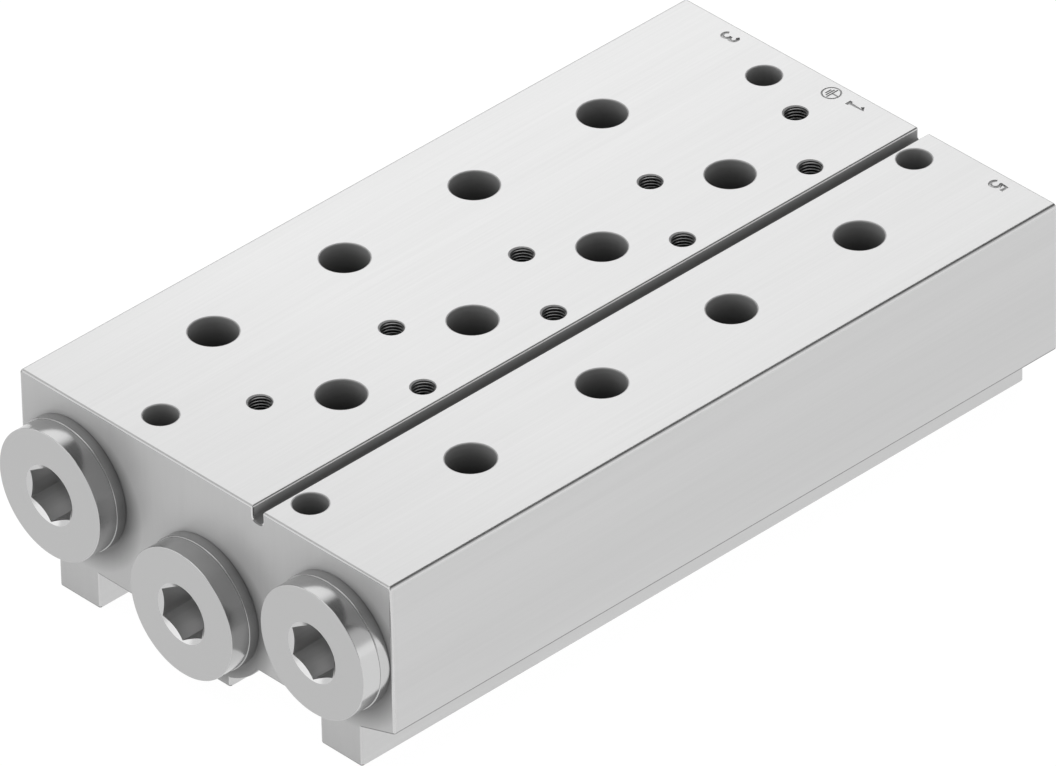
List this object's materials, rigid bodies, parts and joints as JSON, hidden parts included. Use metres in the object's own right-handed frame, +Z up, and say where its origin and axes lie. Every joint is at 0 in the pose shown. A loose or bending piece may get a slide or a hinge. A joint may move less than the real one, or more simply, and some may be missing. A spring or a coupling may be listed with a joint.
{
  "type": "connection block",
  "caption": "Extruded aluminium connection block for a row of air valves, with three galleries along it, screw plugs in their near ends, tapped ports in the far ends and feet below.",
  "frame": {"origin": "middle of the plane that the three feet stand on, under the middle of the bar's length and width", "axes": "+X along the bar, away from the screw plugs; +Y across the bar, towards the port 3 side; +Z up, out of the valve face"},
  "size_m": [0.1708, 0.0948, 0.0428],
  "materials": {
    "bar": "pale extruded aluminium with fine brushed streaks along the bar on top",
    "plug": "turned and satin, with a glossier rim",
    "ring": "smooth turned ring, a little darker than the plug"
  },
  "bodies": {
    "root": {"manifold_block": "bar", "screw_plug_1": "plug", "screw_plug_3": "plug", "screw_plug_5": "plug", "sealing_ring_1": "ring", "sealing_ring_3": "ring", "sealing_ring_5": "ring"}
  },
  "joints": []
}
